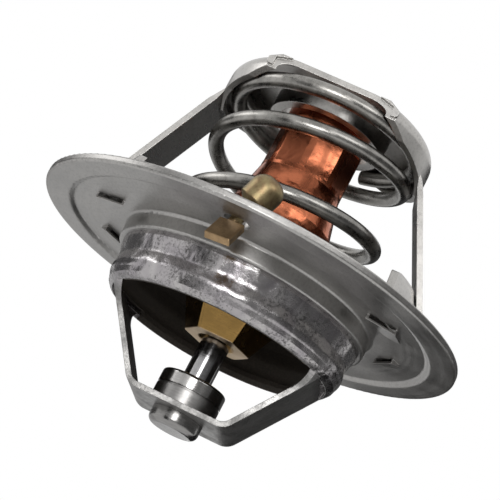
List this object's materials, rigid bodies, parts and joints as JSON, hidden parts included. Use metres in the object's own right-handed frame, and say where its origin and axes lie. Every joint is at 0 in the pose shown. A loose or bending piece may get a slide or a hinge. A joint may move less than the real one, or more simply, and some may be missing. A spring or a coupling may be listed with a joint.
{
  "type": "engine coolant thermostat",
  "caption": "Wax-element coolant thermostat: round flange with a piston bridge on one side, a sprung valve, copper capsule and cage on the other, and a loose vent pin.",
  "frame": {"origin": "on the axis, at the middle of the flange rim's thickness", "axes": "+Z along the axis towards the piston anchor, +X along the bridge arms and cage legs"},
  "size_m": [0.067, 0.067, 0.0549],
  "materials": {
    "flange_steel": "satin",
    "bridge_steel": "polished",
    "cage_steel": "satin",
    "valve_steel": "satin",
    "spring_steel": "polished",
    "piston_steel": "polished",
    "collar_steel": "polished",
    "guide_brass": "satin",
    "vent_brass": "satin",
    "capsule_copper": "satin",
    "black_rubber": "matte",
    "wax": "matte"
  },
  "bodies": {
    "frame": {"flange_plate": "flange_steel", "bridge_frame": "bridge_steel", "seat_liner": "black_rubber", "piston": "piston_steel", "piston_collar": "collar_steel", "collar_washer": "collar_steel", "piston_rivet": "bridge_steel", "rear_frame": "cage_steel", "main_spring": "spring_steel"},
    "element": {"guide_body": "guide_brass", "rubber_sleeve": "black_rubber", "wax_charge": "wax", "capsule_cup": "capsule_copper", "valve_disc": "valve_steel", "disc_clip": "spring_steel"},
    "vent": {"vent_pin": "vent_brass"}
  },
  "joints": [
    {"name": "valve_lift", "type": "slide", "parent": "frame", "child": "element", "axis": [0, 0, -1], "range_m": [0, 0.008], "stiffness_N_per_m": 6000, "springref_m": -0.01, "deforming": ["main_spring"]},
    {"name": "vent_rattle", "type": "slide", "parent": "frame", "child": "vent", "axis": [0.3473, 0.1403, 0.9272], "range_m": [0, 0.0004]}
  ]
}
